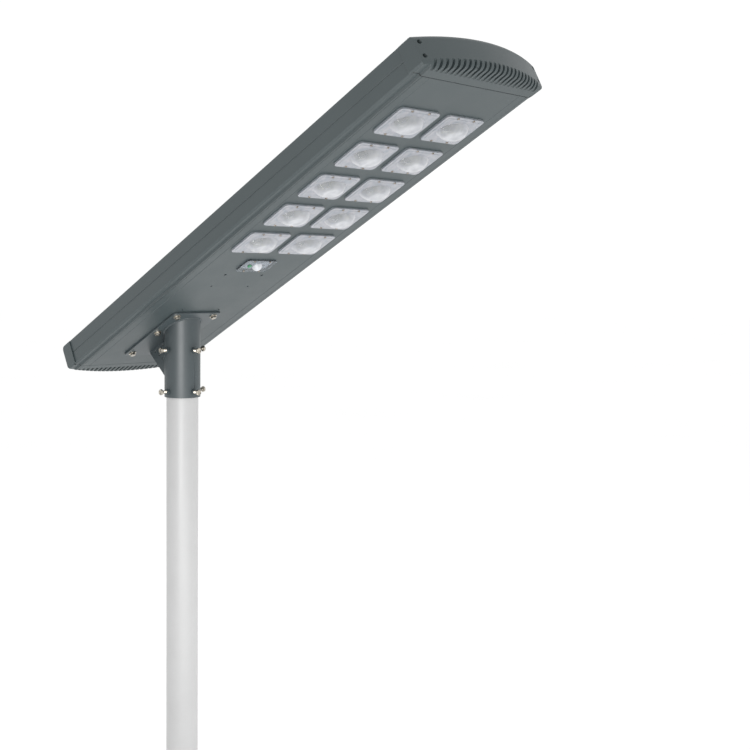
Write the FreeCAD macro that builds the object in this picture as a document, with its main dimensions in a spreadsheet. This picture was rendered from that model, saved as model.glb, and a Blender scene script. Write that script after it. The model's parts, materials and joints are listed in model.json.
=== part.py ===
"""Solar street lamp: a long flat head with ten lens modules, tilted on a sleeve over the top of a pole.

The row frame has its origin at the middle of the pole section's lower end. +Z runs up the pole, +X points the way
the light is thrown and +Y is across the head. Every part of the head is drawn in the head's own frame: x along the
head towards the lamp end, y across it and z up from its flat underside, with the origin at the head's middle.
"""
import FreeCAD, Part
import math
import os
import re
import PartDesign
import Sketcher
from FreeCAD import Vector

# Driving dimensions, in millimetres and degrees.
SIZES = {
    "tilt": 27.5,
    # Pole section, and the sleeve that slips over its top.
    "pole_radius": 40, "pole_wall": 3.5, "mouth_height": 950, "pole_inside": 146,
    "socket_radius": 37.25, "socket_depth": 150,
    "sleeve_radius": 45, "sleeve_wall": 3.5, "sleeve_drop": 182.4, "axis_back": 406,
    # Bracket plate, its bolts and the gusset behind the sleeve.
    "bracket_width": 147, "bracket_length": 247.6, "bracket_thick": 5, "bracket_middle": -456.6,
    "bracket_corner": 12, "bolt_column": 56, "bolt_radius": 4, "bolt_hole": 4.5, "bolt_length": 18,
    "bolt_flats": 13, "bolt_head": 5.3, "washer_radius": 9.5, "washer_thick": 1.6, "nut_height": 6.5,
    "gusset_thick": 4, "gusset_foot": 23, "gusset_reach": 137, "gusset_hole": 3,
    # Clamp screws, each through a nut welded to the sleeve.
    "clamp_low": 15, "clamp_rise": 104, "clamp_radius": 4, "clamp_fit": 0.05, "clamp_flats": 13,
    "clamp_head": 5.5, "clamp_reach": 18, "clamp_gap": 0.3, "clamp_nut": 6.5, "clamp_hole": 4.4,
    # Head: two extruded side rails, a bottom plate, and a cast cap on each end.
    "head_thick": 68, "half_width": 180.8, "half_body": 643.2, "gasket_thick": 1.5,
    "plate_thick": 4, "plate_half": 158, "tongue": 3.4, "seam": 0.6,
    "cap_half_width": 183.75, "cap_side": 672, "cap_end": 704, "cap_skirt": 635, "cap_fit": 0.3,
    "cap_wall": 6, "cap_pocket": 660, "cap_round": 13, "rib_start": 664, "rib_pitch": 13.5, "rib_slot": 6.4,
    "rib_low": 14, "rib_high": 10, "rib_rim": 9, "band_height": 4.5, "band_start": 163,
    "port_out": 173, "port_low": 21, "port_high": 51, "port_radius": 2.5, "port_half": 4.6,
    "cap_screw_radius": 2.4, "cap_screw_head": 4.1, "cap_screw_sink": 10,
    # Solar panel let into the top of the rails.
    "panel_half_width": 172.2, "panel_half_length": 643, "glass_thick": 3.2, "cell_thick": 0.4,
    "sheet_thick": 1.2, "ledge_height": 62, "cell_width": 156.75, "cell_length": 103.8,
    "cell_pitch": 106.7, "cell_column": 81.4,
    # Lens modules, in two columns and five rows.
    "lens_column": 69, "lens_first": 23.2, "lens_pitch": 121.72, "lens_width": 116, "lens_length": 88,
    "lens_flange": 3.5, "lens_corner": 10, "seal_thick": 1, "lens_skin": 2,
    "dome_width": 84, "dome_length": 56, "dome_height": 16,
    "board_width": 91, "board_length": 63, "board_thick": 1.6, "board_recess": 1.2,
    "chip_width": 64, "chip_length": 44, "chip_corner": 20, "chip_thick": 0.8,
    "cover_screw_radius": 1.45, "cover_screw_head": 2.8, "cover_screw_height": 1.7,
    # Sensor window with the power button, motion dome and remote receiver.
    "window_middle": -85, "window_width": 91, "window_length": 53, "window_corner": 8,
    "window_cover": 3, "face_width": 66, "face_length": 31.5, "face_thick": 2, "face_depth": 7,
    "button_out": 22, "button_radius": 5, "button_fit": 0.05, "button_stand": 1.6, "button_travel": 1.5,
    "dome_radius": 12, "dome_wall": 1.2, "receiver_radius": 3.8,
    # Battery, controller and panel junction box inside the head.
    "cell_can_radius": 16, "cell_can_length": 70, "cell_can_pitch": 33.5, "pack_middle": -490,
    "tray_height": 13, "tray_thick": 1.5, "tray_width": 300, "tray_length": 214, "tray_rim": 36,
}
LENS_ROWS = 5
CELL_ROWS = 12
RIB_COUNT = 24

doc = FreeCAD.newDocument("solar_street_lamp")
sheet = doc.addObject("Spreadsheet::Sheet", "Sizes")
for line, (word, amount) in enumerate(SIZES.items(), start=1):
    sheet.set(f"A{line}", word)
    sheet.set(f"B{line}", str(amount))
    sheet.setAlias(f"B{line}", word)
doc.recompute()

sub_parts = []


def formula(text):
    """A formula in the sheet's words, with the sheet's name put before each word."""
    return re.sub(r"[a-z_]+", lambda found: "Sizes." + found[0] if found[0] in SIZES else found[0], str(text))


def size(word):
    """One driving dimension as a number."""
    return float(getattr(sheet, word))


def bind(thing, **formulas):
    """Tie properties of a document object to formulas in the sheet's words."""
    for name, text in formulas.items():
        thing.setExpression(name.replace("__", "."), formula(text))
    return thing


def place(thing, at):
    """Tie an object's position to three formulas."""
    return bind(thing, Placement__Base__x=at[0], Placement__Base__y=at[1], Placement__Base__z=at[2])


def block(name, width_x, width_y, height, at):
    """A box standing on `at`, centred on it across x and y."""
    box = bind(doc.addObject("Part::Box", name), Length=width_x, Width=width_y, Height=height)
    return place(box, (f"({at[0]}) - ({width_x}) / 2", f"({at[1]}) - ({width_y}) / 2", at[2]))


UP = FreeCAD.Rotation()
ALONG = FreeCAD.Rotation(Vector(0, 1, 0), 90)
ACROSS = FreeCAD.Rotation(Vector(1, 0, 0), -90)


def rod(name, radius, length, at, turn=UP):
    """A cylinder that starts at `at` and runs up, along +X or along +Y."""
    cylinder = bind(doc.addObject("Part::Cylinder", name), Radius=radius, Height=length)
    cylinder.Placement = FreeCAD.Placement(Vector(), turn)
    return place(cylinder, at)


def hexagon(name, flats, height, at, turn=UP):
    """A hexagonal prism, given across its flats."""
    prism = doc.addObject("Part::Prism", name)
    prism.Polygon = 6
    bind(prism, Circumradius=f"({flats}) / sqrt(3)", Height=height)
    prism.Placement = FreeCAD.Placement(Vector(), turn)
    return place(prism, at)


def cut(name, base, *tools):
    """The base with every tool taken out of it."""
    result = doc.addObject("Part::Cut", name)
    result.Base = base
    result.Tool = tools[0] if len(tools) == 1 else gather(name + "_tools", tools)
    return result


def fuse(name, *pieces):
    result = doc.addObject("Part::MultiFuse", name)
    result.Shapes = list(pieces)
    return result


def gather(name, pieces):
    result = doc.addObject("Part::Compound", name)
    result.Links = list(pieces)
    return result


def mirror(name, source, normal):
    result = doc.addObject("Part::Mirroring", name)
    result.Source = source
    result.Normal = normal
    return result


def prism_body(name, plane, points, length, centred=True, circles=()):
    """A PartDesign body: a closed outline on one of its base planes, padded to a length.

    A point (x, y) ends a straight edge; (x, y, mid) ends an arc through mid. Circles are (x, y, radius).
    """
    body = doc.addObject("PartDesign::Body", name)
    sketch = body.newObject("Sketcher::SketchObject", name + "_outline")
    support = next(item for item in body.Origin.OriginFeatures if item.Role == plane)
    sketch.AttachmentSupport = [(support, "")]
    sketch.MapMode = "FlatFace"
    for index, point in enumerate(points):
        start = Vector(*points[index - 1][:2], 0)
        end = Vector(*point[:2], 0)
        edge = Part.Arc(start, Vector(*point[2], 0), end) if len(point) > 2 else Part.LineSegment(start, end)
        sketch.addGeometry(edge, False)
    for index in range(len(points)):
        sketch.addConstraint(Sketcher.Constraint("Coincident", index, 2, (index + 1) % len(points), 1))
    for x, y, radius in circles:
        sketch.addGeometry(Part.Circle(Vector(x, y, 0), Vector(0, 0, 1), radius), False)
    pad = body.newObject("PartDesign::Pad", name + "_pad")
    pad.Profile = sketch
    bind(pad, Length=length)
    pad.Midplane = centred
    return body


def slab(name, width_x, width_y, height, corner, at):
    """A PartDesign body: a rectangle with rounded corners, padded up from `at`."""
    body = doc.addObject("PartDesign::Body", name)
    box = body.newObject("PartDesign::AdditiveBox", name + "_box")
    bind(box, Length=width_x, Width=width_y, Height=height)
    bind(box, Placement__Base__x=f"-({width_x}) / 2", Placement__Base__y=f"-({width_y}) / 2")
    doc.recompute()
    uprights = [f"Edge{number}" for number, edge in enumerate(box.Shape.Edges, start=1)
                if abs(edge.Vertexes[0].Z - edge.Vertexes[-1].Z) > 0.1]
    rounding = body.newObject("PartDesign::Fillet", name + "_corners")
    rounding.Base = (box, uprights)
    bind(rounding, Radius=corner)
    return place(body, at)


def keep(name, pieces, at=("0", "0", "0")):
    """A finished sub-part in the row frame, moved by `at`."""
    part = gather(name, pieces)
    part.Label = name
    sub_parts.append(part)
    return place(part, at)


def keep_on_head(name, *pieces, along="0", across="0"):
    """A finished sub-part of the head, moved along and across the head and tilted with it."""
    part = keep(name, pieces, (f"(axis_back + {along}) * cos(tilt)", across,
                               f"mouth_height + sleeve_drop + (axis_back + {along}) * sin(tilt)"))
    part.Placement.Rotation = FreeCAD.Rotation(Vector(0, -1, 0), size("tilt"))
    return bind(part, Placement__Rotation__Angle="tilt")


# ---- Pole section: a plain steel tube, bored out at its foot to take the next section's spigot.
pole = cut("pole_cut",
           rod("pole_outside", "pole_radius", "mouth_height + pole_inside", ("0", "0", "0")),
           fuse("pole_hollow",
                rod("pole_bore", "pole_radius - pole_wall", "mouth_height + pole_inside + 2", ("0", "0", "-1")),
                rod("pole_socket", "socket_radius", "socket_depth + 1", ("0", "0", "-1"))))
keep("pole_tube", [pole])

# ---- Sleeve: a tube over the pole, cut off on the slant under the bracket plate.
SLANT_SPAN = 400
clamp_ways = {"front": (ALONG, 1, 0), "left": (ACROSS, 0, 1), "right": (ACROSS, 0, -1)}
clamp_places = [(f"{level}_{way}", turn, x, y, height)
                for level, height in (("lower", "clamp_low"), ("upper", "clamp_low + clamp_rise"))
                for way, (turn, x, y) in clamp_ways.items()]

sleeve_tube = cut("sleeve_tube",
                  rod("sleeve_outside", "sleeve_radius", "sleeve_drop + 40", ("0", "0", "0")),
                  rod("sleeve_bore", "sleeve_radius - sleeve_wall", "sleeve_drop + 42", ("0", "0", "-1")))
slant = bind(doc.addObject("Part::Box", "sleeve_slant"), Length=SLANT_SPAN, Width=SLANT_SPAN, Height=SLANT_SPAN)
slant.Placement.Rotation = FreeCAD.Rotation(Vector(0, -1, 0), size("tilt"))
bind(slant, Placement__Rotation__Angle="tilt")
place(slant, (f"-{SLANT_SPAN} / 2 * cos(tilt) + bracket_thick * sin(tilt)", f"-{SLANT_SPAN} / 2",
              f"sleeve_drop - {SLANT_SPAN} / 2 * sin(tilt) - bracket_thick * cos(tilt)"))


def radial(distance, x, y):
    """The start of a rod that lies from `distance` outwards, for a rod that only runs towards + x or + y."""
    return (f"{x} * ({distance})", f"{y} * ({distance})")


def clamp_rod(name, radius, start, length, spot, shape=rod):
    """A rod or hexagon across the sleeve's wall, from radius `start` outwards."""
    label, turn, x, y, height = spot
    inner = start if x + y > 0 else f"({start}) + ({length})"
    return shape(f"{name}_{label}", radius, length, (*radial(inner, x, y), height), turn)


clamp_holes = [clamp_rod("clamp_hole", "clamp_hole", "sleeve_radius - sleeve_wall - 2", "sleeve_wall + 4", spot)
               for spot in clamp_places]
keep("bracket_sleeve", [cut("sleeve_cut", sleeve_tube, slant, *clamp_holes)], ("0", "0", "mouth_height"))

# ---- Nuts welded to the sleeve over its clamp holes, hollowed at the back to sit on the round wall.
clamp_nuts = []
for spot in clamp_places:
    nut = clamp_rod("clamp_nut", "clamp_flats", "sleeve_radius - 1", "clamp_nut + 1", spot, hexagon)
    thread = clamp_rod("clamp_thread", "clamp_radius + clamp_fit", "sleeve_radius - 3", "clamp_nut + 6", spot)
    saddle = rod(f"clamp_saddle_{spot[0]}", "sleeve_radius", "clamp_flats * 2",
                 ("0", "0", f"{spot[4]} - clamp_flats"))
    clamp_nuts.append(cut(f"clamp_nut_cut_{spot[0]}", nut, fuse(f"clamp_nut_hollow_{spot[0]}", thread, saddle)))
keep("clamp_nuts", clamp_nuts, ("0", "0", "mouth_height"))

# ---- Clamp screws: hexagon-headed, each with its tip just short of the pole.
for spot in clamp_places:
    shank_length = "sleeve_radius + clamp_reach - pole_radius - clamp_gap"
    shank = clamp_rod("clamp_shank", "clamp_radius", "pole_radius + clamp_gap", shank_length, spot)
    head = clamp_rod("clamp_head", "clamp_flats", "sleeve_radius + clamp_reach", "clamp_head", spot, hexagon)
    screw = fuse(f"clamp_screw_solid_{spot[0]}", shank, head)
    keep(f"clamp_screw_{spot[0]}", [screw], ("0", "0", "mouth_height"))

# ---- Gusset: a web behind the sleeve, welded to it and to the plate, with five small holes in a V.
TILT = math.radians(size("tilt"))


def plate_face(back):
    """Height of the bracket plate's lower face above the sleeve's mouth, `back` behind the pole's axis."""
    return size("sleeve_drop") - back * math.tan(TILT) - size("bracket_thick") / math.cos(TILT)


HOLE_INSET = 8.5
HOLE_STEP = 18.5
BLUNT_TIP = 3
front = size("sleeve_radius") - 0.4
rear = size("gusset_reach")
gusset_outline = [(-front, size("gusset_foot")), (-front, plate_face(front)), (-rear, plate_face(rear)),
                  (-rear, plate_face(rear) - BLUNT_TIP)]
first_hole = (-rear + 1.27 * HOLE_STEP, plate_face(rear - 1.27 * HOLE_STEP) - HOLE_INSET)
gusset_holes = [(first_hole[0] + step * HOLE_STEP * math.cos(angle),
                 first_hole[1] + step * HOLE_STEP * math.sin(angle), size("gusset_hole"))
                for angle, steps in ((TILT, (0, 1, 2)), (-TILT, (1, 2))) for step in steps]
gusset = prism_body("gusset_web", "XZ_Plane", gusset_outline, "gusset_thick", circles=gusset_holes)
sleeve_round = rod("gusset_sleeve", "sleeve_radius", "sleeve_drop", ("0", "0", "0"))
keep("bracket_gusset", [cut("gusset_cut", gusset, sleeve_round)], ("0", "0", "mouth_height"))

# ---- Bracket plate, with its six bolts, washers and inside nuts.
bolt_spots = [(f"{row}_{side}", along, f"{side} * bolt_column")
              for row, along in enumerate(("-349.3", "-440.4", "-563.9")) for side in (-1, 1)]
plate_slab = slab("bracket_slab", "bracket_length", "bracket_width", "bracket_thick", "bracket_corner",
                  ("bracket_middle", "0", "-bracket_thick"))
plate_holes = [rod(f"bracket_hole_{spot}", "bolt_hole", "bracket_thick + 2", (x, y, "-bracket_thick - 1"))
               for spot, x, y in bolt_spots]
keep_on_head("bracket_plate", cut("bracket_plate_cut", plate_slab, *plate_holes))

bolts, washers, nuts = [], [], []
for spot, x, y in bolt_spots:
    under = "-bracket_thick - washer_thick"
    head = hexagon(f"bolt_head_{spot}", "bolt_flats", "bolt_head", (x, y, f"{under} - bolt_head"))
    shank = rod(f"bolt_shank_{spot}", "bolt_radius", "bolt_length", (x, y, under))
    bolts.append(fuse(f"bolt_{spot}", head, shank))
    disc = rod(f"washer_disc_{spot}", "washer_radius", "washer_thick", (x, y, under))
    eye = rod(f"washer_eye_{spot}", "bolt_radius + 0.3", "washer_thick + 2", (x, y, f"{under} - 1"))
    washers.append(cut(f"washer_{spot}", disc, eye))
    body = hexagon(f"nut_body_{spot}", "bolt_flats", "nut_height", (x, y, "plate_thick"))
    thread = rod(f"nut_thread_{spot}", "bolt_radius + 0.05", "nut_height + 2", (x, y, "plate_thick - 1"))
    nuts.append(cut(f"nut_{spot}", body, thread))
keep_on_head("bracket_bolts", *bolts)
keep_on_head("bracket_washers", *washers)
keep_on_head("bracket_nuts", *nuts)

# ---- Side rails: extrusions with a slot for the bottom plate, two screw ports and a ledge for the panel. A raised
# band runs along the underside outside the slot.
WALL = 3
GROOVE = 1.5
CORNER = 4
half = size("half_width")
thick = size("head_thick")
ledge = size("ledge_height")
slot_low, slot_high = 1.5, size("plate_thick") + 0.1
port = size("port_half")
ports = [size("port_high"), size("port_low")]
seam_out = size("plate_half") + size("seam")
band, band_start = size("band_height"), size("band_start")
rail_outline = [(seam_out, 0), (band_start, 0), (band_start + 2, band), (half - CORNER, band), (half, band + CORNER),
                (half, 36 - GROOVE), (half - GROOVE, 36), (half, 36 + GROOVE), (half, thick - 1.5),
                (half - 1.5, thick), (size("panel_half_width") + 0.4, thick),
                (size("panel_half_width") + 0.4, ledge), (164, ledge), (164, ledge - 2.5),
                (half - WALL, ledge - 2.5)]
for height in ports:
    rail_outline += [(half - WALL, height + port), (size("port_out") - port, height + port),
                     (size("port_out") - port, height - port), (half - WALL, height - port)]
rail_outline += [(half - WALL, band + 8.2), (half - WALL - 5, band + 3.2), (150, band + 3.2), (150, slot_high),
                 (seam_out + size("tongue"), slot_high), (seam_out + size("tongue"), slot_low),
                 (seam_out, slot_low)]
rail_ports = [(size("port_out"), height, size("port_radius")) for height in ports]
left_rail = prism_body("side_rail", "YZ_Plane", rail_outline, "half_body * 2", circles=rail_ports)
keep_on_head("side_rail_left", left_rail)
keep_on_head("side_rail_right", mirror("side_rail_mirror", left_rail, Vector(0, 1, 0)))

# ---- Bottom plate: an extrusion whose edge tongues slide in the rails, with wells for the LED boards.
edge = size("plate_half")
tongue = edge + size("tongue")
top = size("plate_thick")
STEP_LINE = 137
half_plate = [(edge, 0), (edge, slot_low + 0.2), (tongue, slot_low + 0.2), (tongue, top)]
line = [(STEP_LINE - 1, 0), (STEP_LINE, 0.6), (STEP_LINE + 1, 0)]
plate_outline = (line + half_plate + [(-x, y) for x, y in reversed(half_plate)]
                 + [(-x, y) for x, y in reversed(line)])
plate_blank = prism_body("bottom_plate_blank", "YZ_Plane", plate_outline, "half_body * 2")
lens_spots = [(2 * row + column + 1, f"lens_first + {row} * lens_pitch", f"{side} * lens_column")
              for row in range(LENS_ROWS) for column, side in enumerate((-1, 1))]
CLEAR = 0.2
plate_cuts = []
for number, x, y in lens_spots:
    plate_cuts.append(block(f"board_well_{number}", f"board_length + {2 * CLEAR}", f"board_width + {2 * CLEAR}",
                            "board_recess + 1", (x, y, "-1")))
    plate_cuts.append(rod(f"wire_hole_{number}", "4", "plate_thick + 2", (f"{x} + 20", y, "-1")))
window = slab("window_hole", "window_length - 12", "window_width - 12", "plate_thick + 2", "window_corner - 3",
              ("window_middle", "0", "-1"))
plate_cuts.append(window)
for spot, x, y in bolt_spots:
    plate_cuts.append(rod(f"plate_bolt_hole_{spot}", "bolt_hole", "plate_thick + 2", (x, y, "-1")))
for row, (along, radius) in enumerate((("-136.4", "3.4"), ("-194.9", "2.5"), ("-321.9", "2.5"))):
    for side in (-1, 1):
        plate_cuts.append(rod(f"spare_hole_{row}_{side}", radius, "plate_thick + 2",
                              (along, f"{side} * bolt_column", "-1")))
cover_screw_spots = [(f"{number}_{corner}", f"{x} + {ahead} * (lens_length / 2 - 4.2)", f"{y} + {aside} * 24.5")
                     for number, x, y in lens_spots
                     for corner, (ahead, aside) in enumerate(((1, 1), (1, -1), (-1, 1), (-1, -1)))]
cover_screw_spots += [(f"window_{corner}", f"window_middle + {ahead} * 23", f"{aside} * 23.5")
                      for corner, (ahead, aside) in enumerate(((1, 1), (1, -1), (-1, 1), (-1, -1)))]
plate_cuts += [rod(f"plate_screw_hole_{spot}", "cover_screw_radius + 0.05", "plate_thick + 2", (x, y, "-1"))
               for spot, x, y in cover_screw_spots]
keep_on_head("bottom_plate", cut("bottom_plate_cut", plate_blank, *plate_cuts))

# ---- End caps: hollow castings with a bowed end rounded above and below, ramped ribs there, and side skirts. The
# upper ribs stop short of the end in a smooth rim; the lower ones run out through the rounded edge.
wide, side_end, tip = size("cap_half_width"), size("cap_side"), size("cap_end")
joint = size("half_body") + size("gasket_thick")
TOP_CORNER = 3
cap_plan = prism_body("cap_plan", "XY_Plane",
                      [(size("cap_skirt"), -wide), (side_end, -wide), (side_end, wide, (tip, 0)),
                       (size("cap_skirt"), wide)], "head_thick", centred=False)
doc.recompute()
cap_pad = cap_plan.Tip
bow_edges = [f"Edge{number}" for number, edge in enumerate(cap_pad.Shape.Edges, start=1)
             if isinstance(edge.Curve, Part.Circle)]
bow_round = cap_plan.newObject("PartDesign::Fillet", "bow_round")
bow_round.Base = (cap_pad, bow_edges)
bind(bow_round, Radius="cap_round")
half_section = [(band_start, 0), (band_start + 2, band), (wide - CORNER, band), (wide, band + CORNER),
                (wide, thick - TOP_CORNER), (wide - TOP_CORNER, thick)]
cap_section = prism_body("cap_section", "YZ_Plane", half_section + [(-x, y) for x, y in reversed(half_section)],
                         "cap_end * 3")
cap_solid = doc.addObject("Part::Common", "cap_solid")
cap_solid.Base, cap_solid.Tool = cap_plan, cap_section
between_skirts = block("between_skirts", f"{joint} - cap_skirt + 2", "(half_width + cap_fit) * 2",
                       "head_thick + 2", (f"(cap_skirt + {joint} - 2) / 2", "0", "-1"))
hollow = block("cap_hollow", "cap_pocket - half_body", "(port_out - port_half - cap_wall) * 2",
               "head_thick - cap_wall * 2", ("(cap_pocket + half_body) / 2", "0", "cap_wall"))
cap_cuts = [between_skirts, hollow]
for number in range(RIB_COUNT):
    across = (number - (RIB_COUNT - 1) / 2) * size("rib_pitch")
    end = side_end + (tip - side_end) * (1 - (across / wide) ** 2)
    for face, deep, run in (("low", "rib_low", 2 * (end - size("rib_start"))),
                            ("high", "rib_high", end - size("rib_start") - size("rib_rim"))):
        ramp = doc.addObject("Part::Wedge", f"rib_{face}_{number}")
        ramp.Ymin, ramp.Ymax = 0, run
        ramp.Xmin = ramp.X2min = across - size("rib_slot") / 2
        ramp.Xmax = ramp.X2max = across + size("rib_slot") / 2
        ramp.Zmin = ramp.Z2min = -1
        ramp.Zmax = 0.2
        bind(ramp, Z2max=f"{deep} * {2 if face == 'low' else 1}")
        quarter_turn = FreeCAD.Rotation(Vector(0, 0, 1), -90)
        ramp.Placement = FreeCAD.Placement(Vector(size("rib_start"), 0, 0), quarter_turn)
        if face == "high":
            over = FreeCAD.Placement(Vector(0, 0, size("head_thick")), FreeCAD.Rotation(Vector(1, 0, 0), 180))
            ramp.Placement = over.multiply(ramp.Placement)
        cap_cuts.append(ramp)
cap_screw_spots = [(f"{side}_{level}", f"{side} * port_out", level)
                   for side in (-1, 1) for level in ("port_low", "port_high")]
end_at_port = side_end + (tip - side_end) * (1 - (size("port_out") / wide) ** 2)
head_seat = f"{round(end_at_port, 2)} - cap_screw_sink"
for spot, y, z in cap_screw_spots:
    cap_cuts.append(rod(f"cap_screw_hole_{spot}", "cap_screw_radius + 0.2", "cap_end",
                        ("half_body - 60", y, z), ALONG))
    cap_cuts.append(rod(f"cap_screw_sink_{spot}", "cap_screw_head + 0.3", "40", (head_seat, y, z), ALONG))
front_cap = cut("front_cap", cap_solid, *cap_cuts)
keep_on_head("end_cap_front", front_cap)
keep_on_head("end_cap_rear", mirror("rear_cap", front_cap, Vector(1, 0, 0)))

# ---- Cap gaskets: flat frames between the caps and the ends of the rails.
gasket_rim = block("gasket_rim", "gasket_thick", "half_width * 2 - 1", "head_thick - 1",
                   ("half_body + gasket_thick / 2", "0", "0.5"))
gasket_hole = block("gasket_hole", "gasket_thick + 2", "(port_out - port_half - cap_wall) * 2",
                    "head_thick - cap_wall * 2", ("half_body + gasket_thick / 2", "0", "cap_wall"))
gasket_eyes = [rod(f"gasket_eye_{spot}", "cap_screw_radius + 0.3", "gasket_thick + 2",
                   ("half_body - 1", y, z), ALONG)
               for spot, y, z in cap_screw_spots]
gasket_corners = [block(f"gasket_corner_{side}", "gasket_thick + 2", "40", "band_height + 1.5",
                        ("half_body + gasket_thick / 2", f"{side} * (band_start + 21.5)", "-1"))
                  for side in (-1, 1)]
front_gasket = cut("front_gasket", gasket_rim, gasket_hole, *gasket_corners, *gasket_eyes)
keep_on_head("cap_gasket_front", front_gasket)
keep_on_head("cap_gasket_rear", mirror("rear_gasket", front_gasket, Vector(1, 0, 0)))

# ---- Cap screws: countersunk in each end face, threaded into the rails' ports.
cap_screws = []
for spot, y, z in cap_screw_spots:
    head = rod(f"cap_screw_head_{spot}", "cap_screw_head", "3.5", (head_seat, y, z), ALONG)
    socket = hexagon(f"cap_screw_socket_{spot}", "4", "3", (f"{head_seat} + 1.5", y, z), ALONG)
    shank = rod(f"cap_screw_shank_{spot}", "cap_screw_radius", "45", (f"{head_seat} - 44", y, z), ALONG)
    cap_screws.append(cut(f"cap_screw_{spot}", fuse(f"cap_screw_solid_{spot}", head, shank), socket))
front_screws = gather("front_cap_screws", cap_screws)
keep_on_head("cap_screws", front_screws, mirror("rear_cap_screws", front_screws, Vector(1, 0, 0)))

# ---- Solar panel: backsheet, cells and glass, let in between the rails' top lips.
panel = ("panel_half_length * 2", "panel_half_width * 2")
keep_on_head("solar_backsheet", block("backsheet", *panel, "sheet_thick", ("0", "0", "ledge_height")))
cells = [block(f"cell_{row}_{side}", "cell_length", "cell_width", "cell_thick",
               (f"({row} - {(CELL_ROWS - 1) / 2}) * cell_pitch", f"{side} * cell_column",
                "ledge_height + sheet_thick"))
         for row in range(CELL_ROWS) for side in (-1, 1)]
keep_on_head("solar_cells", *cells)
keep_on_head("solar_glass", block("glass", *panel, "glass_thick",
                                  ("0", "0", "ledge_height + sheet_thick + cell_thick")))
keep_on_head("junction_box", slab("junction_case", "64", "110", "18", "6", ("-10", "0", "ledge_height - 18")))

# ---- Lens modules: an LED board in a well of the bottom plate, under a domed lens on a seal.
doc.recompute()
dome_lens = doc.addObject("Part::Ellipsoid", "lens_dome")
bind(dome_lens, Radius1="dome_height", Radius2="dome_length / 2", Radius3="dome_width / 2")
dome_lens.Angle1, dome_lens.Angle2 = -90, 0
face = "-seal_thick - lens_flange"
place(dome_lens, ("0", "0", f"{face} + 0.5"))
lens_slab = slab("lens_slab", "lens_length", "lens_width", "lens_flange", "lens_corner", ("0", "0", face))
lens_room = slab("lens_room", "board_length + 7", "board_width + 7", "lens_flange", "7",
                 ("0", "0", f"{face} + lens_skin"))
lens_bowl = doc.addObject("Part::Ellipsoid", "lens_bowl")
bind(lens_bowl, Radius1="dome_height - lens_skin", Radius2="dome_length / 2 - lens_skin",
     Radius3="dome_width / 2 - lens_skin")
lens_bowl.Angle1, lens_bowl.Angle2 = -90, 0
place(lens_bowl, ("0", "0", f"{face} + lens_skin + 0.6"))
corner_holes = [rod(f"lens_screw_hole_{ahead}_{aside}", "cover_screw_radius + 0.2", "20",
                    (f"{ahead} * (lens_length / 2 - 4.2)", f"{aside} * 24.5", "-10"))
                for ahead in (-1, 1) for aside in (-1, 1)]
lens = cut("lens_cut", fuse("lens_solid", lens_slab, dome_lens), lens_room, lens_bowl, *corner_holes)
board = slab("board_slab", "board_length", "board_width", "board_thick", "2",
             ("0", "0", "board_recess - board_thick"))
chip = slab("chip_slab", "chip_length", "chip_width", "chip_thick", "chip_corner",
            ("0", "0", "board_recess - board_thick - chip_thick"))
led_board = fuse("led_board", board, chip)
for number, x, y in lens_spots:
    keep_on_head(f"lens_{number}", lens, along=x, across=y)
    keep_on_head(f"led_board_{number}", led_board, along=x, across=y)

seals = []
for number, x, y in lens_spots:
    rim = slab(f"seal_rim_{number}", "lens_length - 1", "lens_width - 1", "seal_thick", "lens_corner - 0.5",
               (x, y, "-seal_thick"))
    inside = slab(f"seal_inside_{number}", "board_length + 7", "board_width + 7", "seal_thick + 2", "7",
                  (x, y, "-seal_thick - 1"))
    eyes = [rod(f"seal_eye_{spot}", "cover_screw_radius + 0.2", "seal_thick + 2", (a, b, "-seal_thick - 1"))
            for spot, a, b in cover_screw_spots if spot.startswith(f"{number}_")]
    seals.append(cut(f"seal_{number}", rim, inside, *eyes))
keep_on_head("lens_seals", *seals)

screws = []
for spot, x, y in cover_screw_spots:
    outer = "-seal_thick - window_cover" if spot.startswith("window") else face
    head = rod(f"cover_head_{spot}", "cover_screw_head", "cover_screw_height",
               (x, y, f"{outer} - cover_screw_height"))
    shank = rod(f"cover_shank_{spot}", "cover_screw_radius", "plate_thick + 4.2", (x, y, outer))
    screws.append(fuse(f"cover_screw_{spot}", head, shank))
keep_on_head("cover_screws", *screws)

# ---- Sensor window: clear cover on a seal, white face box, power button, motion dome and remote receiver.
middle = "window_middle"
window_eyes = [rod(f"window_eye_{spot}", "cover_screw_radius + 0.2", "20", (x, y, "-10"))
               for spot, x, y in cover_screw_spots if spot.startswith("window")]
window_seal_rim = slab("window_seal_rim", "window_length - 1", "window_width - 1", "seal_thick", "window_corner",
                       (middle, "0", "-seal_thick"))
window_seal_inside = slab("window_seal_inside", "window_length - 11", "window_width - 11", "seal_thick + 2",
                          "window_corner - 3", (middle, "0", "-seal_thick - 1"))
keep_on_head("window_seal", cut("window_seal_cut", window_seal_rim, window_seal_inside, *window_eyes))
cover = slab("window_cover_slab", "window_length", "window_width", "window_cover", "window_corner",
             (middle, "0", "-seal_thick - window_cover"))
button_way = rod("cover_button_hole", "button_radius + 0.6", "20", (middle, "-button_out", "-10"))
dome_way = rod("cover_dome_hole", "dome_radius + 0.5", "20", (middle, "0", "-10"))
keep_on_head("window_cover", cut("window_cover_cut", cover, button_way, dome_way, *window_eyes))

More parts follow.
